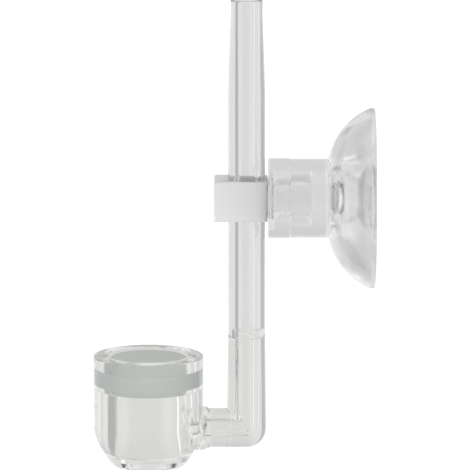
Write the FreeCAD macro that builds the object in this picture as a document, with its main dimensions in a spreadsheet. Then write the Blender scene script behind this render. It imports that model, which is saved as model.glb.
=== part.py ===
import FreeCAD
import Part
import Sketcher
import math
import os

# Carbon dioxide diffuser for a planted aquarium. All sizes are in millimetres.
#
# Frame: the origin is the centre of the suction cup's rim, on the glass. +X points into the glass
# and +Z is up. The riser stands at x = -face_to_riser, where its axis crosses the suction cup's
# axis. The cross arm leads from the foot of the riser along -X to the gas cup.

SIZES = [
    # Where the main axes and levels lie.
    ("face_to_riser", 21.4),
    ("riser_to_cup", 16.4),
    ("tip_level", 33.4),
    ("joint_level", -23.3),
    ("arm_level", -39.0),
    ("base_level", -45.5),
    # Clearances: turning and sliding fits, and the faces of cemented joints.
    ("running_gap", 0.05),
    ("end_gap", 0.1),
    ("cement_gap", 0.02),
    # Riser: a plain tube with a short land and a taper at its hose tip.
    ("riser_radius", 3.1),
    ("riser_bore", 1.5),
    ("tip_radius", 2.65),
    ("tip_land", 2.8),
    ("tip_taper", 13.2),
    ("tip_round", 0.3),
    ("joint_edge", 0.15),
    # Elbow, which turns on the riser by a short spigot.
    ("spigot_radius", 2.0),
    ("spigot_reach", 1.3),
    ("elbow_top_radius", 3.15),
    ("elbow_radius", 3.3),
    ("elbow_bore", 1.5),
    ("stub_reach", 2.65),
    ("cope_reach", 1.0),
    # Cross arm, with a flared end and a plug for the gas cup's wall.
    ("arm_radius", 3.3),
    ("arm_bore", 1.2),
    ("flare_radius", 3.85),
    ("flare_start", 6.1),
    ("flare_end", 7.6),
    ("flare_spare", 10.0),
    ("plug_radius", 2.0),
    ("plug_reach", 8.7),
    # Gas cup: outer wall, then disc pocket and chamber.
    ("cup_radius", 9.2),
    ("cup_tall", 18.9),
    ("cup_wall_foot", 7.0),
    ("shoulder_radius", 8.2),
    ("shoulder_level", 3.45),
    ("shoulder_arc", 6.9),
    ("heel_radius", 6.4),
    ("heel_level", 0.6),
    ("base_radius", 5.6),
    ("rim_edge", 0.25),
    ("pocket_radius", 6.5),
    ("pocket_deep", 5.93),
    ("chamber_radius", 5.7),
    ("chamber_foot", 3.6),
    ("chamber_arc", 1.0),
    ("floor_radius", 4.7),
    ("floor_level", 2.6),
    # Ceramic disc and the ring of sealant round it.
    ("disc_radius", 6.3),
    ("disc_sunk", 0.35),
    ("disc_edge", 0.2),
    ("seal_sunk", 2.45),
    ("seal_tall", 2.75),
    ("seal_squeeze", 0.02),
    # Clip: two jaws round the riser, then a boss, a neck and a button.
    ("clip_front", 5.4),
    ("clip_back", 3.45),
    ("clip_half_width", 3.9),
    ("clip_tall", 6.7),
    ("clip_round", 0.5),
    ("throat_place", 1.9),
    ("throat_half_gap", 2.5),
    ("mouth_half_gap", 3.15),
    ("stud_root", 3.3),
    ("boss_radius", 3.45),
    ("neck_radius", 2.35),
    ("button_radius", 2.95),
    ("button_tall", 3.6),
    ("button_round", 0.4),
    # Suction cup: its x sizes count back from the rim, towards the riser.
    ("hub_back", 17.85),
    ("recess_end", 16.8),
    ("throat_end", 14.3),
    ("socket_end", 10.45),
    ("hub_end", 7.9),
    ("lip_radius", 6.7),
    ("hub_radius", 6.6),
    ("hub_edge", 0.2),
    ("dome_start", 7.75),
    ("dome_start_radius", 7.2),
    ("dome_arc", 11.9),
    ("rim_thick", 0.8),
    ("rim_radius", 15.05),
    ("rim_inner_radius", 14.2),
    ("rim_inner_deep", 0.3),
    ("hollow_deep", 5.4),
    ("hollow_radius", 3.0),
    ("hollow_arc", 17.0),
]

SHEET = "Sizes"
ORIGIN_POINT = (-1, 1)
H_LINE = -1
V_LINE = -2
SAME_PLACE = 1e-4

doc = FreeCAD.newDocument("co2_diffuser")
sizes = dict(SIZES)


def make_sheet():
    """Keep every driving size in one spreadsheet, each in a cell with a plain alias."""
    sheet = doc.addObject("Spreadsheet::Sheet", SHEET)
    for row, (alias, value) in enumerate(SIZES, start=1):
        sheet.set(f"A{row}", alias)
        sheet.set(f"B{row}", str(value))
        sheet.setAlias(f"B{row}", alias)
    doc.recompute()


def bound(formula):
    """The formula as an expression, with each alias looked up on the sheet."""
    words = [f"{SHEET}.{word}" if word in sizes else word for word in formula.split()]
    return " ".join(words)


def value_of(formula):
    """The formula's value now: aliases and numbers, added and subtracted."""
    total = 0.0
    sign = 1.0
    for word in formula.split():
        if word == "-":
            sign = -sign
        elif word != "+":
            total += sign * (sizes[word] if word in sizes else float(word))
            sign = 1.0
    return total


def make_body(label, x="0", z="0"):
    """A sub-part: one body with its own label, placed in the XZ plane by two formulas."""
    body = doc.addObject("PartDesign::Body", label)
    body.Label = label
    body.setExpression("Placement.Base.x", bound(x))
    body.setExpression("Placement.Base.z", bound(z))
    return body


def make_sketch(body, name, plane, shift=None):
    """A sketch flat on one of the body's origin planes, shifted within and along it."""
    sketch = body.newObject("Sketcher::SketchObject", name)
    planes = {feature.Role: feature for feature in body.Origin.OriginFeatures}
    sketch.AttachmentSupport = [(planes[plane], "")]
    sketch.MapMode = "FlatFace"
    for axis, formula in (shift or {}).items():
        sketch.setExpression(f"AttachmentOffset.Base.{axis}", bound(formula))
    return sketch


def pin_point(sketch, edge, end, point):
    """Tie one end of an edge to its place across and up from the sketch's origin."""
    lines = (V_LINE, H_LINE)
    for kind, formula, line in zip(("DistanceX", "DistanceY"), point, lines):
        if formula == "0":
            sketch.addConstraint(Sketcher.Constraint("PointOnObject", edge, end, line))
            continue
        number = sketch.addConstraint(
            Sketcher.Constraint(kind, *ORIGIN_POINT, edge, end, value_of(formula)))
        sketch.setExpression(f"Constraints[{number}]", bound(formula))


def bind_radius(sketch, edge, formula):
    number = sketch.addConstraint(Sketcher.Constraint("Radius", edge, value_of(formula)))
    sketch.setExpression(f"Constraints[{number}]", bound(formula))


def arc_between(start, stop, radius, side):
    """The shorter arc of that radius from start to stop, bulging left (+1) or right (-1)."""
    chord = stop - start
    rise = radius - math.sqrt(radius ** 2 - (chord.Length / 2) ** 2)
    left = FreeCAD.Vector(-chord.y, chord.x, 0).normalize()
    middle = (start + stop) / 2 + left * (side * rise)
    return Part.Arc(start, middle, stop)


def draw_outline(sketch, points, arcs=None):
    """Draw a closed outline through points, each a pair of formulas.

    arcs maps an edge's number to its radius and side: that edge is an arc, not a line.
    """
    arcs = arcs or {}
    places = [FreeCAD.Vector(value_of(across), value_of(up), 0) for across, up in points]
    following = places[1:] + places[:1]
    for edge, (start, stop) in enumerate(zip(places, following)):
        if edge in arcs:
            radius, side = arcs[edge]
            sketch.addGeometry(arc_between(start, stop, value_of(radius), side))
        else:
            sketch.addGeometry(Part.LineSegment(start, stop))
    firsts = []
    for edge, place in enumerate(places):
        runs_forward = sketch.getPoint(edge, 1).distanceToPoint(place) < SAME_PLACE
        firsts.append(1 if runs_forward else 2)
    for edge, first in enumerate(firsts):
        pin_point(sketch, edge, first, points[edge])
        after = (edge + 1) % len(points)
        sketch.addConstraint(
            Sketcher.Constraint("Coincident", edge, 3 - first, after, firsts[after]))
    for edge, (radius, _) in arcs.items():
        bind_radius(sketch, edge, radius)


def draw_circle(sketch, radius):
    """A circle about the sketch's origin."""
    centre = FreeCAD.Vector(0, 0, 0)
    upright = FreeCAD.Vector(0, 0, 1)
    edge = sketch.addGeometry(Part.Circle(centre, upright, value_of(radius)))
    sketch.addConstraint(Sketcher.Constraint("Coincident", edge, 3, *ORIGIN_POINT))
    bind_radius(sketch, edge, radius)


def check_cut(body, before, name):
    """A cut that points away from the solid changes nothing, so its volume is compared."""
    if body.Shape.Volume > before - SAME_PLACE:
        raise RuntimeError(f"{name} cuts nothing")


def turn(body, kind, name, sketch, axis):
    """Turn a sketch a full circle about its own H_Axis or V_Axis, adding or cutting."""
    before = body.Shape.Volume if kind == "Groove" else None
    feature = body.newObject(f"PartDesign::{kind}", name)
    feature.Profile = sketch
    feature.ReferenceAxis = (sketch, [axis])
    feature.Angle = 360.0
    doc.recompute()
    if before is not None:
        check_cut(body, before, name)
    return feature


def extrude(body, kind, name, sketch, length, reverse=False, symmetric=False):
    """Push a sketch along its normal (Pad) or cut against it (Pocket)."""
    before = body.Shape.Volume if kind == "Pocket" else None
    feature = body.newObject(f"PartDesign::{kind}", name)
    feature.Profile = sketch
    feature.setExpression("Length", bound(length))
    feature.Reversed = reverse
    if symmetric:
        feature.SideType = "Symmetric"
    doc.recompute()
    if before is not None:
        check_cut(body, before, name)
    return feature


def dress(body, kind, name, base, amount, wanted):
    """Fillet or chamfer the edges of base that the test accepts."""
    edges = enumerate(base.Shape.Edges, start=1)
    names = [f"Edge{number}" for number, edge in edges if wanted(edge)]
    feature = body.newObject(f"PartDesign::{kind}", name)
    feature.Base = (base, names)
    feature.setExpression("Radius" if kind == "Fillet" else "Size", bound(amount))
    doc.recompute()
    return feature


def ring_at(radius, level, axis="z"):
    """A test for a round edge of that radius at that level on the axis."""
    def wanted(edge):
        if edge.Degenerated or not isinstance(edge.Curve, Part.Circle):
            return False
        off_radius = abs(edge.Curve.Radius - value_of(radius))
        off_level = abs(getattr(edge.Curve.Center, axis) - value_of(level))
        return off_radius < SAME_PLACE and off_level < SAME_PLACE
    return wanted


def upright_at(corners):
    """A test for a straight upright edge over one of the plan corners."""
    def wanted(edge):
        box = edge.BoundBox
        if edge.Degenerated or not isinstance(edge.Curve, Part.Line) or box.ZLength < SAME_PLACE:
            return False
        return any(abs(box.XMin - value_of(x)) < SAME_PLACE
                   and abs(box.YMin - value_of(y)) < SAME_PLACE for x, y in corners)
    return wanted


def make_riser_tube():
    """Upright tube, tapered to a short land at the tip, with a socket in its foot."""
    body = make_body("riser_tube", "- face_to_riser", "joint_level")
    top = "tip_level - joint_level"
    profile = make_sketch(body, "riser_profile", "XZ_Plane")
    draw_outline(profile, [
        ("riser_bore", "0"),
        ("riser_radius", "0"),
        ("riser_radius", top + " - tip_land - tip_taper"),
        ("tip_radius", top + " - tip_land"),
        ("tip_radius", top),
        ("riser_bore", top),
    ])
    turn(body, "Revolution", "riser_wall", profile, "V_Axis")
    circle = make_sketch(body, "riser_socket_circle", "XY_Plane")
    draw_circle(circle, "spigot_radius + running_gap")
    socket = extrude(body, "Pocket", "riser_socket", circle, "spigot_reach", reverse=True)
    tip = dress(body, "Fillet", "riser_tip_round", socket, "tip_round",
                ring_at("tip_radius", top))
    dress(body, "Chamfer", "riser_foot_edge", tip, "joint_edge", ring_at("riser_radius", "0"))
    return body


def make_elbow():
    """Foot of the upright: a spigot on top, a ball corner, and a side stub that the arm meets.

    The upright's side is coped away round the arm, and the bore turns the corner.
    """
    body = make_body("elbow", "- face_to_riser", "arm_level")
    shoulder = "joint_level - arm_level - running_gap"
    spigot_top = shoulder + " + spigot_reach"
    profile = make_sketch(body, "elbow_profile", "XZ_Plane")
    draw_outline(profile, [
        ("0", "- elbow_radius"),
        ("elbow_radius", "0"),
        ("elbow_top_radius", shoulder),
        ("spigot_radius", shoulder),
        ("spigot_radius", spigot_top),
        ("0", spigot_top),
    ], arcs={0: ("elbow_radius", -1)})
    turn(body, "Revolution", "elbow_upright", profile, "V_Axis")
    stub = make_sketch(body, "elbow_stub_circle", "YZ_Plane")
    draw_circle(stub, "elbow_radius")
    extrude(body, "Pad", "elbow_stub", stub, "stub_reach", reverse=True)
    cope = make_sketch(body, "elbow_cope_circle", "YZ_Plane", {"z": "- stub_reach"})
    draw_circle(cope, "arm_radius + cement_gap")
    extrude(body, "Pocket", "elbow_cope", cope, "cope_reach")
    across = make_sketch(body, "elbow_across_circle", "YZ_Plane")
    draw_circle(across, "arm_bore")
    extrude(body, "Pocket", "elbow_across_bore", across, "stub_reach")
    down = make_sketch(body, "elbow_down_profile", "XZ_Plane")
    draw_outline(down, [
        ("0", "- elbow_bore"),
        ("elbow_bore", "0"),
        ("elbow_bore", spigot_top),
        ("0", spigot_top),
    ], arcs={0: ("elbow_bore", -1)})
    bore = turn(body, "Groove", "elbow_down_bore", down, "V_Axis")
    dress(body, "Chamfer", "elbow_top_edge", bore, "joint_edge",
          ring_at("elbow_top_radius", shoulder))
    return body


def draw_cup_outline(sketch, grown=""):
    """The gas cup's outer half-profile, from its base outwards and up, grown by a small gap."""
    draw_outline(sketch, [
        ("0", "0"),
        ("base_radius" + grown, "0"),
        ("heel_radius" + grown, "heel_level"),
        ("shoulder_radius" + grown, "shoulder_level"),
        ("cup_radius" + grown, "cup_wall_foot"),
        ("cup_radius" + grown, "cup_tall"),
        ("0", "cup_tall"),
    ], arcs={3: ("shoulder_arc", -1)})


def make_cross_arm():
    """Level tube from the elbow to the gas cup: a flared saddle end with a plug for the wall."""
    body = make_body("cross_arm", "- face_to_riser", "arm_level")
    profile = make_sketch(body, "arm_profile", "XZ_Plane")
    draw_outline(profile, [
        ("- stub_reach", "0"),
        ("- stub_reach", "arm_radius"),
        ("- flare_start", "arm_radius"),
        ("- flare_end", "flare_radius"),
        ("- flare_spare", "flare_radius"),
        ("- flare_spare", "0"),
    ])
    turn(body, "Revolution", "arm_wall", profile, "H_Axis")
    cup_place = {"x": "- riser_to_cup", "y": "base_level - arm_level"}
    cup_profile = make_sketch(body, "arm_saddle_profile", "XZ_Plane", cup_place)
    draw_cup_outline(cup_profile, " + cement_gap")
    turn(body, "Groove", "arm_saddle", cup_profile, "V_Axis")
    plug_reach = "plug_reach - stub_reach"
    plug = make_sketch(body, "arm_plug_circle", "YZ_Plane", {"z": "- stub_reach"})
    draw_circle(plug, "plug_radius")
    extrude(body, "Pad", "arm_plug", plug, plug_reach, reverse=True)
    bore = make_sketch(body, "arm_bore_circle", "YZ_Plane", {"z": "- stub_reach"})
    draw_circle(bore, "arm_bore")
    extrude(body, "Pocket", "arm_through_bore", bore, plug_reach)
    return body


def make_gas_cup():
    """Thick cup: outer wall, disc pocket, gas chamber, and the cross arm's hole in its side."""
    body = make_body("gas_cup", "- face_to_riser - riser_to_cup", "base_level")
    outer = make_sketch(body, "cup_outer_profile", "XZ_Plane")
    draw_cup_outline(outer)
    turn(body, "Revolution", "cup_wall", outer, "V_Axis")
    inner = make_sketch(body, "cup_inner_profile", "XZ_Plane")
    ledge = "cup_tall - pocket_deep"
    draw_outline(inner, [
        ("0", "floor_level"),
        ("floor_radius", "floor_level"),
        ("chamber_radius", "chamber_foot"),
        ("chamber_radius", ledge),
        ("pocket_radius", ledge),
        ("pocket_radius", "cup_tall"),
        ("0", "cup_tall"),
    ], arcs={1: ("chamber_arc", -1)})
    turn(body, "Groove", "cup_chamber", inner, "V_Axis")
    seat_place = {"y": "arm_level - base_level", "z": "riser_to_cup - plug_reach - cement_gap"}
    seat = make_sketch(body, "cup_plug_circle", "YZ_Plane", seat_place)
    draw_circle(seat, "plug_radius + cement_gap")
    extrude(body, "Pocket", "cup_plug_hole", seat, "cup_radius", reverse=True)
    gas_place = {"y": "arm_level - base_level"}
    gas = make_sketch(body, "cup_gas_circle", "YZ_Plane", gas_place)
    draw_circle(gas, "arm_bore")
    hole = extrude(body, "Pocket", "cup_gas_hole", gas, "cup_radius", reverse=True)
    dress(body, "Fillet", "cup_rim_edge", hole, "rim_edge", ring_at("cup_radius", "cup_tall"))
    return body


def make_ceramic_disc():
    """Sintered disc that stands on the pocket's ledge, a little below the cup's rim."""
    ledge = "base_level + cup_tall - pocket_deep"
    body = make_body("ceramic_disc", "- face_to_riser - riser_to_cup", ledge)
    circle = make_sketch(body, "disc_circle", "XY_Plane")
    draw_circle(circle, "disc_radius")
    top = "pocket_deep - disc_sunk"
    disc = extrude(body, "Pad", "disc_pad", circle, top)
    dress(body, "Chamfer", "disc_top_edge", disc, "disc_edge", ring_at("disc_radius", top))
    return body


def make_disc_seal():
    """Ring of sealant between the disc and the pocket's wall, pressed slightly into the wall."""
    foot = "base_level + cup_tall - seal_sunk - seal_tall"
    body = make_body("disc_seal", "- face_to_riser - riser_to_cup", foot)
    circles = make_sketch(body, "seal_circles", "XY_Plane")
    draw_circle(circles, "disc_radius")
    draw_circle(circles, "pocket_radius + seal_squeeze")
    extrude(body, "Pad", "seal_pad", circles, "seal_tall")
    return body


def make_tube_clip():
    """Spring clip: two jaws round the riser, then a boss, a neck and a button that turn in a hub."""
    body = make_body("tube_clip", "- face_to_riser")
    corners = [
        ("- clip_front", "clip_half_width"),
        ("- clip_front", "- clip_half_width"),
        ("clip_back", "- clip_half_width"),
        ("clip_back", "clip_half_width"),
    ]
    plan = make_sketch(body, "clip_plan", "XY_Plane")
    draw_outline(plan, corners)
    block = extrude(body, "Pad", "clip_block", plan, "clip_tall", symmetric=True)
    dress(body, "Fillet", "clip_corners", block, "clip_round", upright_at(corners))
    grip = make_sketch(body, "clip_grip_circle", "XY_Plane")
    draw_circle(grip, "riser_radius + running_gap")
    extrude(body, "Pocket", "clip_grip", grip, "clip_tall", symmetric=True)
    mouth = make_sketch(body, "clip_mouth_plan", "XY_Plane")
    draw_outline(mouth, [
        ("0", "throat_place"),
        ("- throat_place", "throat_half_gap"),
        ("- clip_front", "mouth_half_gap"),
        ("- clip_front", "- mouth_half_gap"),
        ("- throat_place", "- throat_half_gap"),
        ("0", "- throat_place"),
    ])
    extrude(body, "Pocket", "clip_mouth", mouth, "clip_tall", symmetric=True)
    stud = make_sketch(body, "clip_stud_profile", "XZ_Plane")
    hub = "face_to_riser - "
    draw_outline(stud, [
        ("stud_root", "0"),
        ("stud_root", "boss_radius - end_gap"),
        (hub + "recess_end - end_gap", "boss_radius"),
        (hub + "recess_end - end_gap", "neck_radius"),
        (hub + "throat_end + end_gap", "neck_radius"),
        (hub + "throat_end + end_gap", "button_radius"),
        (hub + "throat_end + end_gap + button_tall", "button_radius"),
        (hub + "throat_end + end_gap + button_tall", "0"),
    ])
    solid = turn(body, "Revolution", "clip_stud", stud, "H_Axis")
    button_end = hub + "throat_end + end_gap + button_tall"
    dress(body, "Fillet", "clip_button_round", solid, "button_round",
          ring_at("button_radius", button_end, axis="x"))
    return body


def make_suction_cup():
    """Soft cup: a round hub with an undercut socket, and a domed bell with a thin flat rim."""
    body = make_body("suction_cup")
    outer = make_sketch(body, "suction_outer_profile", "XZ_Plane")
    draw_outline(outer, [
        ("- hub_back", "0"),
        ("- hub_back", "lip_radius"),
        ("- throat_end", "lip_radius"),
        ("- throat_end", "hub_radius"),
        ("- hub_end", "hub_radius"),
        ("- dome_start", "dome_start_radius"),
        ("- rim_thick", "rim_radius"),
        ("0", "rim_radius"),
        ("0", "0"),
    ], arcs={5: ("dome_arc", 1)})
    turn(body, "Revolution", "suction_solid", outer, "H_Axis")
    hollow = make_sketch(body, "suction_hollow_profile", "XZ_Plane")
    draw_outline(hollow, [
        ("0", "0"),
        ("0", "rim_inner_radius"),
        ("- rim_inner_deep", "rim_inner_radius"),
        ("- hollow_deep", "hollow_radius"),
        ("- hollow_deep", "0"),
    ], arcs={2: ("hollow_arc", -1)})
    turn(body, "Groove", "suction_hollow", hollow, "H_Axis")
    socket = make_sketch(body, "suction_socket_profile", "XZ_Plane")
    draw_outline(socket, [
        ("- hub_back", "0"),
        ("- hub_back", "boss_radius + running_gap"),
        ("- recess_end", "boss_radius + running_gap"),
        ("- recess_end", "neck_radius + running_gap"),
        ("- throat_end", "neck_radius + running_gap"),
        ("- throat_end", "button_radius + running_gap"),
        ("- socket_end", "button_radius + running_gap"),
        ("- socket_end", "0"),
    ])
    cut = turn(body, "Groove", "suction_socket", socket, "H_Axis")
    dress(body, "Fillet", "suction_hub_edge", cut, "hub_edge",
          ring_at("lip_radius", "- hub_back", axis="x"))
    return body


def check_and_write(bodies):
    """Refuse any failed feature or bad solid, then write each body as its own STEP file."""
    doc.recompute()
    for item in doc.Objects:
        if "Invalid" in item.State or "Error" in item.State:
            raise RuntimeError(f"{item.Name} has failed: {item.State}")
    os.makedirs("parts", exist_ok=True)
    for body in bodies:
        shape = body.Shape
        if shape.isNull() or not shape.isValid() or len(shape.Solids) != 1:
            raise RuntimeError(f"{body.Label} isn't one valid solid")
        shape.exportStep(os.path.join("parts", body.Label + ".step"))
        box = shape.BoundBox
        print(f"{body.Label}: {shape.Volume:.1f} mm3, x {box.XMin:.2f} to {box.XMax:.2f}, "
              f"y {box.YMin:.2f} to {box.YMax:.2f}, z {box.ZMin:.2f} to {box.ZMax:.2f}")


def main():
    make_sheet()
    bodies = [
        make_suction_cup(),
        make_tube_clip(),
        make_riser_tube(),
        make_elbow(),
        make_cross_arm(),
        make_gas_cup(),
        make_ceramic_disc(),
        make_disc_seal(),
    ]
    check_and_write(bodies)


main()
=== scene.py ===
import math

import bmesh
import bpy
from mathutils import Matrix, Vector


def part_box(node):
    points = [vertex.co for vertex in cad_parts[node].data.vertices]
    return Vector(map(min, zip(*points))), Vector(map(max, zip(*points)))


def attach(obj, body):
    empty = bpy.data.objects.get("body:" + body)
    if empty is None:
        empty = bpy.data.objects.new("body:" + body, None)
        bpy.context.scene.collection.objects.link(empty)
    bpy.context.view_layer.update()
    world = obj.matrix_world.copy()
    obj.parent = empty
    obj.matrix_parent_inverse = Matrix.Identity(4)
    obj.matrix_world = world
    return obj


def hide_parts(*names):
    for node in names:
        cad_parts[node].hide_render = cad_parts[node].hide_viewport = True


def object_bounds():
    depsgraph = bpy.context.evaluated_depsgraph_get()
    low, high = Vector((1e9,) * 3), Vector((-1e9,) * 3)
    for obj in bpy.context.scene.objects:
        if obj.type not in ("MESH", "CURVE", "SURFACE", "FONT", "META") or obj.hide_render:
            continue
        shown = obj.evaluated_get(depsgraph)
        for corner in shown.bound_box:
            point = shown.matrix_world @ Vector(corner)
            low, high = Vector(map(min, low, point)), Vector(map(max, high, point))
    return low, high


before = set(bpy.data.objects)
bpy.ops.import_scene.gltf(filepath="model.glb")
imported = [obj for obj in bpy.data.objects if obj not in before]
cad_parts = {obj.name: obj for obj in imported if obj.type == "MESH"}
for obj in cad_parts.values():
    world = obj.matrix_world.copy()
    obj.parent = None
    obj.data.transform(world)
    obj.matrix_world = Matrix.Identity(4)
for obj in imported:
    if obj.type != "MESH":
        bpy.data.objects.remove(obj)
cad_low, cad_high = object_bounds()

# A clear carbon dioxide diffuser. All lengths are in metres, in the frame's own axes: +X runs into
# the aquarium's glass, +Z is up. Each clear piece is rebuilt as a smooth closed mesh of rings,
# because light bends through it and a coarse surface would show.

MM = 0.001
AROUND = 144             # points on each ring
ROUND_STEPS = 5          # steps round each rounded corner of a profile
ARC_STEPS = 28           # steps along each large arc of a profile
SHARP_OVER = 32          # degrees between faces beyond which an edge is shown crisp
TURN = 2 * math.pi
ON_AXIS = 1e-9           # a ring smaller than this is a single point

# Sizes that two pieces share.
BORE = 1.5 * MM          # radius of the gas passage in the riser and the elbow
ARM_BORE = 1.2 * MM      # radius of the gas passage in the cross arm and the cup's wall
SPIGOT_RADIUS = 2.0 * MM
SPIGOT_REACH = 1.3 * MM  # how far the elbow's spigot enters the riser
PLUG_RADIUS = 2.0 * MM
PLUG_END = 8.7 * MM      # from the elbow's axis to the end of the cross arm's plug
CEMENT_GAP = 0.02 * MM


# ---------------------------------------------------------------- profiles and rings

def rounded(corners, closed=True):
    """Points of a profile whose corners are (a, b, radius): each corner becomes a small arc."""
    points = []
    count = len(corners)
    for index, (a, b, radius) in enumerate(corners):
        here = Vector((a, b))
        ends = not closed and index in (0, count - 1)
        if ends or radius == 0:
            points.append(here)
            continue
        before = Vector(corners[index - 1][:2])
        after = Vector(corners[(index + 1) % count][:2])
        points.extend(round_corner(before, here, after, radius))
    return points


def round_corner(before, here, after, radius):
    """The arc of that radius that touches both sides of a corner."""
    back = (before - here).normalized()
    ahead = (after - here).normalized()
    half = math.acos(max(-1.0, min(1.0, back.dot(ahead)))) / 2
    reach = radius / math.tan(half)
    centre = here + (back + ahead).normalized() * (radius / math.sin(half))
    start = here + back * reach - centre
    stop = here + ahead * reach - centre
    sweep = start.angle_signed(stop)
    arc = []
    for step in range(ROUND_STEPS + 1):
        angle = -sweep * step / ROUND_STEPS
        arc.append(centre + Vector((
            start.x * math.cos(angle) - start.y * math.sin(angle),
            start.x * math.sin(angle) + start.y * math.cos(angle))))
    return arc


def bulge(start, stop, radius, side):
    """Corners along the arc between two points, bulging left (+1) or right (-1) of its way."""
    start, stop = Vector(start), Vector(stop)
    chord = stop - start
    left = Vector((-chord.y, chord.x)).normalized()
    drop = math.sqrt(radius ** 2 - (chord.length / 2) ** 2)
    centre = (start + stop) / 2 - left * side * drop
    first = start - centre
    sweep = -first.angle_signed(stop - centre)
    corners = []
    for step in range(1, ARC_STEPS):
        angle = sweep * step / ARC_STEPS
        corners.append((
            centre.x + first.x * math.cos(angle) - first.y * math.sin(angle),
            centre.y + first.x * math.sin(angle) + first.y * math.cos(angle), 0))
    return corners


def split_long(points, longest, closed=True):
    """Add points on the long stretches of a profile, so that no face is much longer than wide."""
    result = []
    count = len(points)
    for index, here in enumerate(points):
        result.append(here)
        if index == count - 1 and not closed:
            break
        after = points[(index + 1) % count]
        pieces = max(1, math.ceil((after - here).length / longest))
        for piece in range(1, pieces):
            result.append(here.lerp(after, piece / pieces))
    return result


def ring_about_z(centre, radius, level):
    """A level ring round the upright axis through centre."""
    return [Vector((centre.x + radius * math.cos(TURN * k / AROUND),
                    centre.y + radius * math.sin(TURN * k / AROUND),
                    centre.z + level)) for k in range(AROUND)]


def ring_about_x(centre, radius, reach):
    """An upright ring round the level axis through centre."""
    return [Vector((centre.x + reach,
                    centre.y + radius * math.cos(TURN * k / AROUND),
                    centre.z + radius * math.sin(TURN * k / AROUND))) for k in range(AROUND)]


def mesh_of_rings(name, rings, closed=True):
    """A closed mesh through rings of equal count; a ring of one point closes an end."""
    points = []
    starts = []
    for ring in rings:
        starts.append(len(points))
        points.extend(ring)
    faces = []
    pairs = list(zip(range(len(rings)), range(1, len(rings))))
    if closed:
        pairs.append((len(rings) - 1, 0))
    for low, high in pairs:
        faces.extend(band(starts[low], len(rings[low]), starts[high], len(rings[high])))
    mesh = bpy.data.meshes.new(name)
    mesh.from_pydata([tuple(point) for point in points], [], faces)
    mesh.validate()
    piece = bpy.data.objects.new(name, mesh)
    bpy.context.scene.collection.objects.link(piece)
    face_outwards(piece)
    return piece


def band(low, low_count, high, high_count):
    """Faces between two rings, or between a ring and a single point."""
    faces = []
    for k in range(max(low_count, high_count)):
        after = (k + 1) % max(low_count, high_count)
        if low_count == 1:
            faces.append((low, high + after, high + k))
        elif high_count == 1:
            faces.append((low + k, low + after, high))
        else:
            faces.append((low + k, low + after, high + after, high + k))
    return faces


def face_outwards(piece):
    """Turn every face of a closed mesh to look outwards."""
    work = bmesh.new()
    work.from_mesh(piece.data)
    bmesh.ops.recalc_face_normals(work, faces=work.faces)
    work.to_mesh(piece.data)
    work.free()


def smooth(piece):
    """Smooth shading, with crisp edges where the surface turns sharply."""
    piece.data.polygons.foreach_set("use_smooth", [True] * len(piece.data.polygons))
    piece.data.set_sharp_from_angle(angle=math.radians(SHARP_OVER))
    even = piece.modifiers.new("even_normals", "WEIGHTED_NORMAL")
    even.keep_sharp = True
    even.weight = 50
    return piece


def turned_about_z(name, centre, profile, closed=True):
    """A piece turned round the upright axis: its profile is (radius, level) points."""
    rings = [[Vector((centre.x, centre.y, centre.z + level))] if radius < ON_AXIS
             else ring_about_z(centre, radius, level) for radius, level in profile]
    return mesh_of_rings(name, rings, closed)


def turned_about_x(name, centre, profile, closed=True):
    """A piece turned round the level axis: its profile is (reach, radius) points."""
    rings = [[Vector((centre.x + reach, centre.y, centre.z))] if radius < ON_AXIS
             else ring_about_x(centre, radius, reach) for reach, radius in profile]
    return mesh_of_rings(name, rings, closed)


def in_mm(corners):
    """Corners stated in millimetres, as metres."""
    return [tuple(number * MM for number in corner) for corner in corners]


def join_solids(piece, other, operation):
    """Cut other from piece, or weld it on, and drop other."""
    change = piece.modifiers.new(operation.lower(), "BOOLEAN")
    change.operation = operation
    change.solver = "EXACT"
    change.object = other
    apply_modifiers(piece)
    bpy.data.objects.remove(other)


def apply_modifiers(piece):
    """Replace the piece's mesh by what its modifiers make of it."""
    graph = bpy.context.evaluated_depsgraph_get()
    made = bpy.data.meshes.new_from_object(piece.evaluated_get(graph))
    piece.modifiers.clear()
    piece.data = made


# ---------------------------------------------------------------- places, from the frame

def middle(node):
    """Centre of a CAD node's box."""
    low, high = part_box(node)
    return (Vector(low) + Vector(high)) / 2


riser_low, riser_high = (Vector(corner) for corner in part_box("riser_tube"))
elbow_low, elbow_high = (Vector(corner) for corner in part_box("elbow"))
cup_low, cup_high = (Vector(corner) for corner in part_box("gas_cup"))
disc_low, disc_high = (Vector(corner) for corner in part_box("ceramic_disc"))
seal_low, seal_high = (Vector(corner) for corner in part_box("disc_seal"))
clip_low, clip_high = (Vector(corner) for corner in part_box("tube_clip"))

riser_foot = Vector((middle("riser_tube").x, 0, riser_low.z))
elbow_radius = (elbow_high.y - elbow_low.y) / 2
elbow_corner = Vector((riser_foot.x, 0, elbow_low.z + elbow_radius))
cup_foot = Vector((middle("gas_cup").x, 0, cup_low.z))
cup_radius = (cup_high.x - cup_low.x) / 2
cup_tall = cup_high.z - cup_low.z


# ---------------------------------------------------------------- clear pieces

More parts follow.
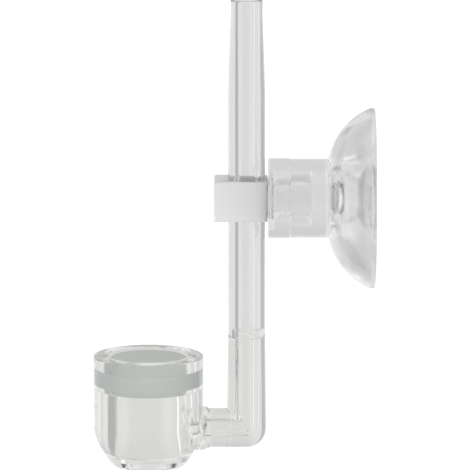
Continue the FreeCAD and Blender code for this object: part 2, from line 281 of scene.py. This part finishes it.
def make_riser():
    """Straight tube with a tapered tip and a short socket in its foot."""
    tall = riser_high.z - riser_low.z
    radius = (riser_high.x - riser_low.x) / 2
    socket = SPIGOT_RADIUS + 0.05 * MM
    tip_radius, tip_bore = 2.65 * MM, 1.55 * MM
    taper_foot, land_foot = tall - 16.0 * MM, tall - 2.8 * MM
    bore_widens = tall - 26.0 * MM
    corners = [
        (socket, 0, 0.03 * MM),
        (radius, 0, 0.05 * MM),
        (radius, taper_foot, 0),
        (tip_radius, land_foot, 0),
        (tip_radius, tall, 0.3 * MM),
        (tip_bore, tall, 0.15 * MM),
        (BORE, bore_widens, 0),
        (BORE, SPIGOT_REACH, 0.08 * MM),
        (socket, SPIGOT_REACH, 0.05 * MM),
    ]
    profile = split_long(rounded(corners), 1.2 * MM)
    return smooth(turned_about_z("riser_tube_clear", riser_foot, profile))


def bend_ring(radius, degrees, crease):
    """Ring of the corner between upright and level run, turned by degrees about its inner crease."""
    ring = []
    angle = math.radians(degrees)
    for k in range(AROUND):
        across = math.cos(TURN * k / AROUND)
        aside = math.sin(TURN * k / AROUND)
        reach = radius * across if across > 0 else -crease * across
        inner = 0 if across > 0 else radius * across + crease * across
        ring.append(elbow_corner + Vector((
            inner + reach * math.cos(angle),
            radius * aside,
            -inner - reach * math.sin(angle))))
    return ring


def upright_ring(radius, level):
    """Ring of the upright run, at a level above the corner."""
    return ring_about_z(elbow_corner, radius, level)


def level_ring(radius, reach):
    """Ring of the level run, its points in the same order as the bend's."""
    return [elbow_corner + Vector((
        -reach,
        radius * math.sin(TURN * k / AROUND),
        -radius * math.cos(TURN * k / AROUND))) for k in range(AROUND)]


def make_elbow():
    """Spigot, upright, ball corner and side stub, with a bore that turns the corner."""
    top = elbow_high.z - elbow_corner.z
    shoulder = top - SPIGOT_REACH
    shoulder_radius = 3.15 * MM
    upright_foot = 4.2 * MM
    stub = 4.6 * MM
    stub_edge = 0.08 * MM
    bend_steps = 16
    crease = 0.35 * MM
    bore_levels = (4.2 * MM, 8.0 * MM, 12.0 * MM, 15.0 * MM)
    corners = [
        (BORE, top, 0),
        (SPIGOT_RADIUS, top, 0.03 * MM),
        (SPIGOT_RADIUS, shoulder, 0.03 * MM),
        (shoulder_radius, shoulder, 0.05 * MM),
        (elbow_radius, upright_foot, 0),
    ]
    outer = split_long(rounded(corners, closed=False), 1.0 * MM, closed=False)
    rings = [upright_ring(radius, level) for radius, level in outer]
    for step in range(bend_steps + 1):
        rings.append(bend_ring(elbow_radius, 90 * step / bend_steps, crease))
    rings.append(level_ring(elbow_radius, stub - stub_edge))
    rings.append(level_ring(elbow_radius - stub_edge, stub))
    rings.append(level_ring(ARM_BORE, stub))
    for step in range(bend_steps, -1, -1):
        share = step / bend_steps
        rings.append(bend_ring(BORE + (ARM_BORE - BORE) * share, 90 * share, crease))
    for level in bore_levels:
        rings.append(upright_ring(BORE, level))
    elbow = mesh_of_rings("elbow_clear", rings)
    cope_radius, cope_start, cope_end = 3.32 * MM, 2.65 * MM, 6.0 * MM
    cope = [(-cope_start, 0), (-cope_start, cope_radius), (-cope_end, cope_radius), (-cope_end, 0)]
    join_solids(elbow, turned_about_x("cope", elbow_corner, cope, closed=False), "DIFFERENCE")
    return smooth(elbow)


def cup_outer(grown=0.0):
    """Outer profile of the gas cup, from the middle of its base to the foot of its wall."""
    base_radius, heel_radius, heel_level = 5.6 * MM, 6.4 * MM, 0.6 * MM
    shoulder = (8.2 * MM + grown, 3.45 * MM)
    wall_foot = (cup_radius + grown, 7.0 * MM)
    return [
        (0, 0, 0),
        (base_radius + grown, 0, 0.35 * MM),
        (heel_radius + grown, heel_level, 0.6 * MM),
        (*shoulder, 0),
        *bulge(shoulder, wall_foot, 6.9 * MM, -1),
        (*wall_foot, 0),
    ]


def cup_radius_at(level):
    """Radius of the arm's saddle at a level above the cup's base: the cup's own and a gap."""
    points = rounded(cup_outer(CEMENT_GAP), closed=False)
    points.append(Vector((cup_radius + CEMENT_GAP, cup_tall)))
    for low, high in zip(points, points[1:]):
        if low.y <= level <= high.y and high.y > low.y:
            share = (level - low.y) / (high.y - low.y)
            return low.x + (high.x - low.x) * share
    return points[-1].x


def saddle_reach(y, z):
    """How far the cross arm runs towards the cup before it meets its wall."""
    radius = cup_radius_at(z + elbow_corner.z - cup_foot.z)
    return elbow_corner.x - cup_foot.x - math.sqrt(radius ** 2 - y ** 2)


def make_cross_arm():
    """Level tube with a flared end that fits the cup's wall, and a plug that enters it."""
    stub = 2.67 * MM
    flare_start, flare_end = 6.1 * MM, 7.6 * MM
    arm_radius, flare_radius = 3.3 * MM, 3.85 * MM
    stub_edge, plug_edge = 0.08 * MM, 0.05 * MM
    closing_in = 40          # times that a point of the saddle moves half the way to the wall

    def flare(reach):
        """Outer radius of the arm, which widens towards the cup."""
        share = (reach - flare_start) / (flare_end - flare_start)
        share = max(0.0, min(1.0, share))
        return arm_radius + (flare_radius - arm_radius) * share

    def at(reach, radius, k):
        """Point k of a ring round the arm's axis."""
        angle = TURN * k / AROUND
        return elbow_corner + Vector((-reach, radius * math.sin(angle), -radius * math.cos(angle)))

    ends = []
    for k in range(AROUND):
        reach = flare_end
        angle = TURN * k / AROUND
        for _ in range(closing_in):
            radius = flare(reach)
            reach = (reach + saddle_reach(radius * math.sin(angle), -radius * math.cos(angle))) / 2
        ends.append((reach, flare(reach)))
    rings = [[at(stub, ARM_BORE, k) for k in range(AROUND)]]
    rings.append([at(stub, arm_radius - stub_edge, k) for k in range(AROUND)])
    for reach in (stub + stub_edge, 3.6 * MM, 4.4 * MM, 5.2 * MM, flare_start - 0.2 * MM):
        rings.append([at(reach, arm_radius, k) for k in range(AROUND)])
    for share in (0.15, 0.35, 0.55, 0.75, 0.9, 1.0):
        ring = []
        for k, (reach, _) in enumerate(ends):
            here = flare_start + (reach - flare_start) * share
            ring.append(at(here, flare(here), k))
        rings.append(ring)
    for share in (0.25, 0.5, 0.75, 1.0):
        ring = []
        for k, (_, radius) in enumerate(ends):
            here = radius + (PLUG_RADIUS - radius) * share
            angle = TURN * k / AROUND
            ring.append(at(saddle_reach(here * math.sin(angle), -here * math.cos(angle)), here, k))
        rings.append(ring)
    rings.append([at(PLUG_END - plug_edge, PLUG_RADIUS, k) for k in range(AROUND)])
    rings.append([at(PLUG_END, PLUG_RADIUS - plug_edge, k) for k in range(AROUND)])
    rings.append([at(PLUG_END, ARM_BORE, k) for k in range(AROUND)])
    for reach in (7.5, 6.0, 4.5):
        rings.append([at(reach * MM, ARM_BORE, k) for k in range(AROUND)])
    return smooth(mesh_of_rings("cross_arm_clear", rings))


def make_gas_cup():
    """Thick cup: curved foot, disc pocket with a ledge, flat-floored chamber, side hole."""
    pocket_radius, ledge = 6.5 * MM, cup_tall - 5.93 * MM
    chamber_radius, floor_level = 5.7 * MM, 2.6 * MM
    corners = [
        *cup_outer(),
        (cup_radius, cup_tall, 0.25 * MM),
        (pocket_radius, cup_tall, 0.12 * MM),
        (pocket_radius, ledge, 0.08 * MM),
        (chamber_radius, ledge, 0.08 * MM),
        (chamber_radius, floor_level, 1.0 * MM),
        (0, floor_level, 0),
    ]
    profile = split_long(rounded(corners, closed=False), 1.0 * MM, closed=False)
    cup = turned_about_z("gas_cup_clear", cup_foot, profile, closed=False)
    hole_centre = Vector((cup_foot.x, 0, elbow_corner.z))
    plug_seat = (elbow_corner.x - cup_foot.x) - PLUG_END - CEMENT_GAP
    seat_radius = PLUG_RADIUS + CEMENT_GAP
    outside = cup_radius + 2 * MM
    drill = [
        (0, 0),
        (0, ARM_BORE),
        (plug_seat, ARM_BORE),
        (plug_seat, seat_radius),
        (outside, seat_radius),
        (outside, 0),
    ]
    tool = turned_about_x("drill", hole_centre, drill, closed=False)
    join_solids(cup, tool, "DIFFERENCE")
    return smooth(cup)


def make_suction_cup():
    """Soft cup turned about X: hub with an undercut socket, domed bell and a thin rim."""
    socket_end, throat_end, recess_end, hub_back = -10.45, -14.3, -16.8, -17.85
    socket_radius, throat_radius, recess_radius = 3.0, 2.4, 3.5
    lip_end, hub_end, hub_radius, lip_radius = -14.15, -7.9, 6.6, 6.7
    rim_radius, rim_inner = 15.05, 14.2
    dome_start, dome_end = (-7.75, 7.2), (-0.8, rim_radius)
    hollow_start, hollow_end = (-0.3, rim_inner), (-5.4, 3.0)
    corners = [
        (socket_end, 0, 0),
        (socket_end, socket_radius, 0.3),
        (throat_end, socket_radius, 0.12),
        (throat_end, throat_radius, 0.15),
        (recess_end, throat_radius, 0.15),
        (recess_end, recess_radius, 0.1),
        (hub_back, recess_radius, 0.15),
        (hub_back, lip_radius, 0.25),
        (throat_end, lip_radius, 0.08),
        (lip_end, hub_radius, 0.08),
        (hub_end, hub_radius, 0.12),
        (*dome_start, 0.2),
        *bulge(dome_start, dome_end, 11.9, 1),
        (*dome_end, 0.25),
        (0, rim_radius, 0.3),
        (0, rim_inner, 0.2),
        (*hollow_start, 0.1),
        *bulge(hollow_start, hollow_end, 17.0, -1),
        (*hollow_end, 2.8),
        (hollow_end[0], 0, 0),
    ]
    points = rounded(in_mm(corners), closed=False)
    profile = split_long(points, 0.8 * MM, closed=False)
    return smooth(turned_about_x("suction_cup_soft", Vector((0, 0, 0)), profile, closed=False))


# ---------------------------------------------------------------- clip, disc and seal

def make_clip():
    """Two spring jaws round the riser, then a boss, a neck and a button in one moulding."""
    centre = Vector((riser_foot.x, 0, 0))
    front = centre.x - clip_low.x
    half_wide = (clip_high.y - clip_low.y) / 2
    half_tall, back, grip = 3.35 * MM, 3.45 * MM, 3.15 * MM
    throat, mouth = 2.5 * MM, 3.15 * MM
    reach = math.sqrt(grip ** 2 - throat ** 2)
    upper = rounded([
        (back, 0, 0),
        (back, half_wide, 0.5 * MM),
        (-front, half_wide, 0.4 * MM),
        (-front, mouth, 0.15 * MM),
        (-reach, throat, 0),
    ], closed=False)
    opening = math.atan2(throat, -reach)
    steps = 72
    for step in range(1, steps + 1):
        angle = opening * (1 - step / steps)
        upper.append(Vector((grip * math.cos(angle), grip * math.sin(angle))))
    lower = [Vector((point.x, -point.y)) for point in reversed(upper[1:-1])]
    clip = plate("tube_clip_milky", centre, upper + lower, half_tall)
    edges = clip.modifiers.new("edges", "BEVEL")
    edges.width = 0.12 * MM
    edges.segments = 3
    edges.limit_method = "ANGLE"
    edges.angle_limit = math.radians(50)
    apply_modifiers(clip)
    stud_root, boss_end, neck_end, button_end = 3.3, 4.5, 7.2, 10.8
    root_radius, boss_radius, neck_radius, button_radius = 3.3, 3.45, 2.35, 2.95
    stud = rounded(in_mm([
        (stud_root, 0, 0),
        (stud_root, root_radius, 0),
        (boss_end, boss_radius, 0.12),
        (boss_end, neck_radius, 0.15),
        (neck_end, neck_radius, 0.1),
        (neck_end, button_radius, 0.15),
        (button_end, button_radius, 0.45),
        (button_end, 0, 0),
    ]), closed=False)
    button = turned_about_x("clip_stud", centre, split_long(stud, 0.8 * MM, closed=False), False)
    join_solids(clip, button, "UNION")
    return smooth(clip)


def plate(name, centre, plan, half_tall):
    """A flat plate of the given plan, from half_tall below the centre to half_tall above it."""
    count = len(plan)
    points = [(centre.x + p.x, centre.y + p.y, centre.z - half_tall) for p in plan]
    points += [(centre.x + p.x, centre.y + p.y, centre.z + half_tall) for p in plan]
    faces = [tuple(reversed(range(count))), tuple(range(count, 2 * count))]
    for k in range(count):
        after = (k + 1) % count
        faces.append((k, after, count + after, count + k))
    mesh = bpy.data.meshes.new(name)
    mesh.from_pydata(points, [], faces)
    piece = bpy.data.objects.new(name, mesh)
    bpy.context.scene.collection.objects.link(piece)
    face_outwards(piece)
    return piece


def make_disc():
    """Sintered disc with a softly broken top edge."""
    radius = (disc_high.x - disc_low.x) / 2
    tall = disc_high.z - disc_low.z
    corners = [(0, 0, 0), (radius, 0, 0.1 * MM), (radius, tall, 0.22 * MM), (0, tall, 0)]
    profile = split_long(rounded(corners, closed=False), 0.35 * MM, closed=False)
    foot = Vector((middle("ceramic_disc").x, 0, disc_low.z))
    return smooth(turned_about_z("ceramic_disc_sintered", foot, profile, closed=False))


def make_seal():
    """Bead of sealant with hollow top and bottom faces, where it wetted the disc and the wall."""
    inner = (disc_high.x - disc_low.x) / 2
    outer = (seal_high.x - seal_low.x) / 2
    tall = seal_high.z - seal_low.z
    dip = 0.09 * MM
    middle_radius = (inner + outer) / 2
    corners = [
        (inner, 0, 0), (middle_radius, dip, 0), (outer, 0, 0),
        (outer, tall, 0), (middle_radius, tall - dip, 0), (inner, tall, 0),
    ]
    profile = split_long(rounded(corners), 0.5 * MM)
    foot = Vector((middle("disc_seal").x, 0, seal_low.z))
    return smooth(turned_about_z("disc_seal_bead", foot, profile))


# ---------------------------------------------------------------- materials

# Sockets of a Mix node that mixes colours.
MIX_FACTOR, MIX_FIRST, MIX_SECOND, MIX_RESULT = 0, 6, 7, 2


def new_material(name):
    """A material with its own shader node, ready to be wired."""
    material = bpy.data.materials.new(name)
    material.use_nodes = True
    return material, material.node_tree, material.node_tree.nodes["Principled BSDF"]


def add_node(tree, kind, **inputs):
    """A shader node with its inputs set by name."""
    node = tree.nodes.new(kind)
    for key, value in inputs.items():
        node.inputs[key.replace("_", " ")].default_value = value
    return node


def object_place(tree):
    """Place in the piece's own space, so that the pattern moves with the piece."""
    return tree.nodes.new("ShaderNodeTexCoord").outputs["Object"]


def grain(tree, scale, detail=3.0):
    """Noise in the piece's own space, with its scale in cycles per metre."""
    node = add_node(tree, "ShaderNodeTexNoise", Scale=scale, Detail=detail)
    tree.links.new(object_place(tree), node.inputs["Vector"])
    return node.outputs["Fac"]


def spread(tree, source, low, high, from_low=0.3, from_high=0.7):
    """Map a value onto a range; noise lies mostly between 0.3 and 0.7."""
    node = tree.nodes.new("ShaderNodeMapRange")
    node.inputs["From Min"].default_value = from_low
    node.inputs["From Max"].default_value = from_high
    node.inputs["To Min"].default_value = low
    node.inputs["To Max"].default_value = high
    tree.links.new(source, node.inputs["Value"])
    return node.outputs["Result"]


def mixed(tree, factor, first, second):
    """A colour between two, by a factor; each is three numbers or another node's output."""
    node = tree.nodes.new("ShaderNodeMix")
    node.data_type = "RGBA"
    for socket, colour in ((MIX_FIRST, first), (MIX_SECOND, second)):
        if isinstance(colour, tuple):
            node.inputs[socket].default_value = (*colour, 1)
        else:
            tree.links.new(colour, node.inputs[socket])
    tree.links.new(factor, node.inputs[MIX_FACTOR])
    return node.outputs[MIX_RESULT]


def bumped(tree, shader, height, depth):
    """Shade the surface as if it were raised by the height times the depth."""
    node = add_node(tree, "ShaderNodeBump", Strength=1.0, Distance=depth)
    tree.links.new(height, node.inputs["Height"])
    tree.links.new(node.outputs["Normal"], shader.inputs["Normal"])


def clear_plastic(name, tint, warm, ior, ripple, polish, absorbed, density):
    """Clear plastic: a faint tint that drifts, a mould's shallow ripple and a polished surface."""
    material, tree, shader = new_material(name)
    inside = tree.nodes.new("ShaderNodeVolumeAbsorption")
    inside.inputs["Color"].default_value = (*absorbed, 1)
    inside.inputs["Density"].default_value = density
    tree.links.new(inside.outputs["Volume"], tree.nodes["Material Output"].inputs["Volume"])
    shader.inputs["Transmission Weight"].default_value = 1.0
    shader.inputs["IOR"].default_value = ior
    tree.links.new(mixed(tree, grain(tree, 90), tint, warm), shader.inputs["Base Color"])
    tree.links.new(spread(tree, grain(tree, 700), *polish), shader.inputs["Roughness"])
    bumped(tree, shader, grain(tree, 220, detail=1.0), ripple)
    return material


def milky_plastic():
    """Translucent moulding: its jaws blur what is behind them, and its polished stud is clear."""
    material, tree, shader = new_material("milky_plastic")
    clear_from, clear_to = riser_foot.x + 3.3 * MM, riser_foot.x + 4.1 * MM
    split = tree.nodes.new("ShaderNodeSeparateXYZ")
    tree.links.new(object_place(tree), split.inputs[0])
    tree.links.new(spread(tree, split.outputs["X"], 0.37, 0.97, clear_from, clear_to),
                   shader.inputs["Transmission Weight"])
    shader.inputs["Subsurface Weight"].default_value = 0.8
    shader.inputs["Subsurface Radius"].default_value = (1, 1, 1)
    shader.inputs["Subsurface Scale"].default_value = 0.6 * MM
    shader.inputs["IOR"].default_value = 1.2
    tree.links.new(mixed(tree, grain(tree, 160), (0.93, 0.93, 0.91), (0.97, 0.97, 0.955)),
                   shader.inputs["Base Color"])
    rough = tree.nodes.new("ShaderNodeMath")
    rough.operation = "MULTIPLY"
    tree.links.new(spread(tree, grain(tree, 900), 0.3, 0.4), rough.inputs[0])
    tree.links.new(spread(tree, split.outputs["X"], 1.0, 0.2, clear_from, clear_to),
                   rough.inputs[1])
    tree.links.new(rough.outputs[0], shader.inputs["Roughness"])
    bumped(tree, shader, grain(tree, 1500), 0.01 * MM)
    return material


def sintered_ceramic():
    """Fine sintered grains, matt and pitted, grey-green: painted shade makes the top darker, and the
    side is paler.
    """
    material, tree, shader = new_material("sintered_ceramic")
    speckle = grain(tree, 9000, detail=2.0)
    # Painted shade: the top face gets a darker copy of the ceramic's colour, for the weaker light
    # that falls on it.
    top = mixed(tree, speckle, (0.55, 0.585, 0.55), (0.70, 0.735, 0.69))
    side = mixed(tree, speckle, (0.86, 0.91, 0.88), (0.92, 0.97, 0.94))
    split = tree.nodes.new("ShaderNodeSeparateXYZ")
    tree.links.new(tree.nodes.new("ShaderNodeTexCoord").outputs["Normal"], split.inputs[0])
    # Faces that look up take the darker colour, as painted shade.
    painted_shade_on_top = spread(tree, split.outputs["Z"], 0, 1, 0.3, 0.8)
    tree.links.new(mixed(tree, painted_shade_on_top, side, top), shader.inputs["Base Color"])
    shader.inputs["Roughness"].default_value = 0.85
    bumped(tree, shader, speckle, 0.05 * MM)
    return material


def sealant():
    """Clear sealant that takes the colour of the ceramic behind it."""
    material, tree, shader = new_material("sealant")
    tree.links.new(mixed(tree, grain(tree, 1500), (0.86, 0.92, 0.89), (0.91, 0.97, 0.94)),
                   shader.inputs["Base Color"])
    shader.inputs["Roughness"].default_value = 0.5
    bumped(tree, shader, grain(tree, 2500), 0.02 * MM)
    return material


TUBE = clear_plastic("clear_tube", tint=(0.97, 0.975, 0.975), warm=(0.99, 0.99, 0.99), ior=1.49,
                     ripple=0.004 * MM, polish=(0.0, 0.02), absorbed=(0.5, 0.5, 0.5), density=6)
MOULDING = clear_plastic("clear_moulding", tint=(0.97, 0.97, 0.955), warm=(0.99, 0.99, 0.98),
                         ior=1.49, ripple=0.006 * MM, polish=(0.0, 0.03),
                         absorbed=(0.5, 0.5, 0.42), density=1)
VINYL = clear_plastic("soft_vinyl", tint=(0.96, 0.965, 0.975), warm=(0.98, 0.985, 0.99), ior=1.53,
                      ripple=0.02 * MM, polish=(0.04, 0.1), absorbed=(0.5, 0.5, 0.52), density=3)
MILKY = milky_plastic()
CERAMIC = sintered_ceramic()
SEALANT = sealant()


# ---------------------------------------------------------------- assembly

# What makes each piece, its material, the CAD node it replaces, its body and its material slot.
PIECES = [
    (make_suction_cup, VINYL, "suction_cup", "suction_cup", "soft_vinyl"),
    (make_clip, MILKY, "tube_clip", "clip", "milky_plastic"),
    (make_riser, TUBE, "riser_tube", "riser", "clear_tube"),
    (make_elbow, MOULDING, "elbow", "diffuser", "clear_moulding"),
    (make_cross_arm, MOULDING, "cross_arm", "diffuser", "clear_moulding"),
    (make_gas_cup, MOULDING, "gas_cup", "diffuser", "clear_moulding"),
    (make_disc, CERAMIC, "ceramic_disc", "diffuser", "sintered_ceramic"),
    (make_seal, SEALANT, "disc_seal", "diffuser", "sealant"),
]

for make, material, node, body, slot in PIECES:
    piece = make()
    piece.data.materials.clear()
    piece.data.materials.append(material)
    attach(piece, body)
    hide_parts(node)


# ---------------------------------------------------------------- floor, light and camera

# The studio that the clear plastic shows, as (degrees, brightness). Around, 0 is +Y, the way the
# camera looks, and 90 is +X; upwards, 0 is level. A dark gap stands on the left, and a narrow bright
# strip on the right.
PANELS_AROUND = [
    (-180, 1.2), (-115, 1.15), (-90, 0.7), (-66, 0.52), (-42, 0.52), (-37, 0.93), (-30, 0.96),
    (-15, 0.95), (-9, 0.86), (4, 0.86), (8, 0.95), (17, 0.95), (21, 0.89), (23, 0.89),
    (24, 1.4), (28.5, 1.4), (29.5, 0.89), (60, 0.92), (80, 1.0), (110, 1.15), (180, 1.2),
]
PANELS_UPWARDS = [(-90, 0.95), (0, 1.0), (20, 0.95), (45, 0.8), (90, 0.75)]


def make_floor():
    """A wide plain pale floor, well below the object, that isn't seen through the plastic."""
    drop, half = 30 * MM, 4.0
    level = cad_low.z - drop
    mesh = bpy.data.meshes.new("floor")
    mesh.from_pydata([(-half, -half, level), (half, -half, level),
                      (half, half, level), (-half, half, level)], [], [(0, 1, 2, 3)])
    floor = bpy.data.objects.new("floor", mesh)
    bpy.context.scene.collection.objects.link(floor)
    material, tree, shader = new_material("pale_floor")
    shader.inputs["Base Color"].default_value = (0.92, 0.92, 0.92, 1)
    shader.inputs["Roughness"].default_value = 0.9
    shader.inputs["Emission Color"].default_value = (1, 1, 1, 1)
    shader.inputs["Emission Strength"].default_value = 0.45
    mesh.materials.append(material)
    floor.visible_transmission = False


def make_world():
    """White to the eye, and a studio of soft panels and dark gaps to what glass bends or mirrors."""
    world = bpy.data.worlds.new("studio")
    world.use_nodes = True
    tree = world.node_tree
    links = tree.links
    white = tree.nodes["Background"]
    white.inputs["Color"].default_value = (1, 1, 1, 1)
    white.inputs["Strength"].default_value = 1.1
    panels = tree.nodes.new("ShaderNodeBackground")
    split = tree.nodes.new("ShaderNodeSeparateXYZ")
    links.new(tree.nodes.new("ShaderNodeTexCoord").outputs["Generated"], split.inputs[0])
    turn = tree.nodes.new("ShaderNodeMath")
    turn.operation = "ARCTAN2"
    links.new(split.outputs["X"], turn.inputs[0])
    links.new(split.outputs["Y"], turn.inputs[1])
    around = level_ramp(tree, turn.outputs[0], -math.pi, math.pi, PANELS_AROUND, 180)
    height = tree.nodes.new("ShaderNodeMath")
    height.operation = "ARCSINE"
    links.new(split.outputs["Z"], height.inputs[0])
    upwards = level_ramp(tree, height.outputs[0], -math.pi / 2, math.pi / 2, PANELS_UPWARDS, 90)
    both = tree.nodes.new("ShaderNodeMath")
    both.operation = "MULTIPLY"
    links.new(around, both.inputs[0])
    links.new(upwards, both.inputs[1])
    links.new(both.outputs[0], panels.inputs["Strength"])
    seen = tree.nodes.new("ShaderNodeLightPath")
    choose = tree.nodes.new("ShaderNodeMixShader")
    links.new(seen.outputs["Is Camera Ray"], choose.inputs[0])
    links.new(panels.outputs[0], choose.inputs[1])
    links.new(white.outputs[0], choose.inputs[2])
    links.new(choose.outputs[0], tree.nodes["World Output"].inputs["Surface"])
    bpy.context.scene.world = world


def level_ramp(tree, source, lowest, highest, stops, half_span):
    """Brightness along an angle: stops are (degrees, brightness) from -half_span to half_span."""
    brightest = max(level for _, level in stops)
    share = tree.nodes.new("ShaderNodeMapRange")
    share.inputs["From Min"].default_value = lowest
    share.inputs["From Max"].default_value = highest
    tree.links.new(source, share.inputs["Value"])
    ramp = tree.nodes.new("ShaderNodeValToRGB")
    points = ramp.color_ramp.elements
    while len(points) < len(stops):
        points.new(0.5)
    for point, (degrees, level) in zip(points, stops):
        point.position = (degrees + half_span) / (2 * half_span)
        point.color = (level / brightest,) * 3 + (1,)
    tree.links.new(share.outputs["Result"], ramp.inputs["Fac"])
    scale = tree.nodes.new("ShaderNodeMath")
    scale.operation = "MULTIPLY"
    scale.inputs[1].default_value = brightest
    tree.links.new(ramp.outputs["Color"], scale.inputs[0])
    return scale.outputs[0]


def make_light(name, place, aim, wide, tall, power):
    """A soft box that shines from one place at another."""
    data = bpy.data.lights.new(name, "AREA")
    data.shape = "RECTANGLE"
    data.size = wide
    data.size_y = tall
    data.energy = power
    light = bpy.data.objects.new(name, data)
    light.location = place
    light.rotation_mode = "QUATERNION"
    light.rotation_quaternion = (Vector(aim) - Vector(place)).to_track_quat("-Z", "Y")
    bpy.context.scene.collection.objects.link(light)


def make_camera():
    """A long lens a metre away, a little above the suction cup's axis, looking along +Y."""
    distance, elevation = 1.0, math.radians(10.2)
    left_of_riser, aim_level = 1.93 * MM, -6.2 * MM
    aim = Vector((riser_foot.x - left_of_riser, 0, aim_level))
    back = Vector((0, -math.cos(elevation), math.sin(elevation)))
    data = bpy.data.cameras.new("camera")
    data.sensor_width = 36.0
    data.lens = 459.6
    camera = bpy.data.objects.new("camera", data)
    camera.location = aim + back * distance
    camera.rotation_mode = "QUATERNION"
    camera.rotation_quaternion = (-back).to_track_quat("-Z", "Y")
    bpy.context.scene.collection.objects.link(camera)
    bpy.context.scene.camera = camera


make_floor()
make_world()
make_light("overhead", place=(-0.1, -0.15, 0.6), aim=(-0.02, 0, 0), wide=0.5, tall=0.5, power=0.6)
make_camera()

# Light runs round inside the cup's wall many times before it leaves.
BOUNCES = 96
scene = bpy.context.scene
scene.view_settings.view_transform = "Standard"
scene.cycles.max_bounces = BOUNCES
scene.cycles.transmission_bounces = BOUNCES
scene.cycles.glossy_bounces = BOUNCES
